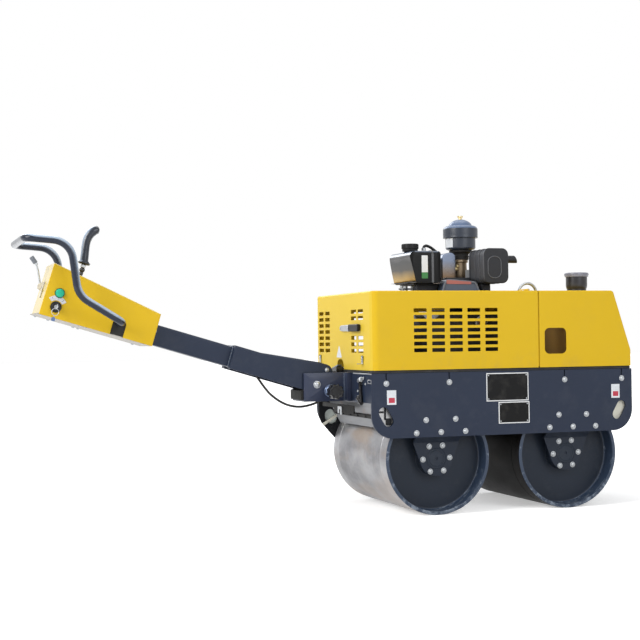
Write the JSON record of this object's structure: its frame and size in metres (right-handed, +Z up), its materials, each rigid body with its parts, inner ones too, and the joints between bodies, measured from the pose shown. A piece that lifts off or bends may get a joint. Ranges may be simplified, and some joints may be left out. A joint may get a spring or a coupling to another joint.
{
  "type": "walk-behind double drum roller",
  "caption": "Walk-behind tandem vibratory roller: smooth steel drums under a sheet-metal hood with an air-cooled engine, steered by a hinged guide handle with a control console.",
  "frame": {"origin": "on the ground under the middle of the whole machine's outline, handle lowered", "axes": "+X forward, away from the handle; +Y to the machine's left; +Z up"},
  "size_m": [2.3538, 0.66, 1.164],
  "materials": {
    "frame_blue": "satin dark blue-grey paint",
    "tube_blue": "glossy dark blue-grey paint",
    "drum_steel": "bare rolled steel, lightly rusted",
    "bare_steel": "bare rolled plate",
    "hood_yellow": "satin yellow powder coat",
    "zinc": "bright zinc plate",
    "black_rubber": "matt black rubber",
    "black_plastic": "satin black plastic",
    "black_paint": "semi-gloss black enamel",
    "cast_aluminium": "as-cast",
    "tank_brown": "dull moulded plastic",
    "green_plastic": "glossy push-button"
  },
  "bodies": {
    "chassis": {"air_cleaner_bowl": "frame_blue", "air_cleaner_cap": "frame_blue", "cable_gland": "black_rubber", "centre_beam": "frame_blue", "clevis": "frame_blue", "control_cable": "black_rubber", "cross_plate_front": "frame_blue", "cross_plate_rear": "frame_blue", "deck": "frame_blue", "engine_block": "cast_aluminium", "fan_shroud": "frame_blue", "filler_cap": "black_plastic", "filler_neck": "black_plastic", "flywheel_cover": "black_paint", "fuel_cap": "black_plastic", "fuel_tank": "black_paint", "handle_stop": "black_rubber", "hanger_front_left": "frame_blue", "hanger_front_right": "frame_blue", "hanger_rear_left": "frame_blue", "hanger_rear_right": "frame_blue", "hood_front": "hood_yellow", "hood_hinge_left": "zinc", "hood_hinge_right": "zinc", "hood_seal": "black_rubber", "hub_front_left": "frame_blue", "hub_front_right": "frame_blue", "hub_rear_left": "frame_blue", "hub_rear_right": "frame_blue", "intake_pipe": "cast_aluminium", "lifting_eye": "zinc", "lock_knob": "black_plastic", "muffler": "black_paint", "pivot_bolt": "zinc", "rocker_cover": "cast_aluminium", "scraper_front": "bare_steel", "scraper_rear": "bare_steel", "scraper_strip_front": "black_rubber", "scraper_strip_rear": "black_rubber", "side_plate_left": "frame_blue", "side_plate_right": "frame_blue", "tank_bracket": "black_paint", "water_tank": "tank_brown"},
    "hood": {"hood_rear": "hood_yellow", "hood_latch": "black_plastic"},
    "rear_drum": {"drum_rear": "drum_steel"},
    "front_drum": {"drum_front": "drum_steel"},
    "handle": {"handle_arm": "frame_blue", "handle_beam": "frame_blue", "console": "hood_yellow", "console_base": "zinc", "handle_loop": "tube_blue", "travel_lever": "black_rubber", "throttle_lever": "zinc", "start_button": "green_plastic", "key_switch": "black_plastic", "beam_plug": "black_rubber"}
  },
  "joints": [
    {"name": "rear_drum_roll", "type": "hinge", "parent": "chassis", "child": "rear_drum", "pos_m": [0.35189, 0, 0.2125], "axis": [0, 1, 0], "continuous": true},
    {"name": "front_drum_roll", "type": "hinge", "parent": "chassis", "child": "front_drum", "pos_m": [0.90189, 0, 0.2125], "axis": [0, 1, 0], "continuous": true},
    {"name": "handle_lift", "type": "hinge", "parent": "chassis", "child": "handle", "pos_m": [-0.05311, 0, 0.496], "axis": [0, 1, 0], "range_deg": [0, 73]},
    {"name": "hood_lift", "type": "hinge", "parent": "chassis", "child": "hood", "pos_m": [0.76789, 0, 0.8533], "axis": [0, 1, 0], "range_deg": [0, 40]}
  ]
}
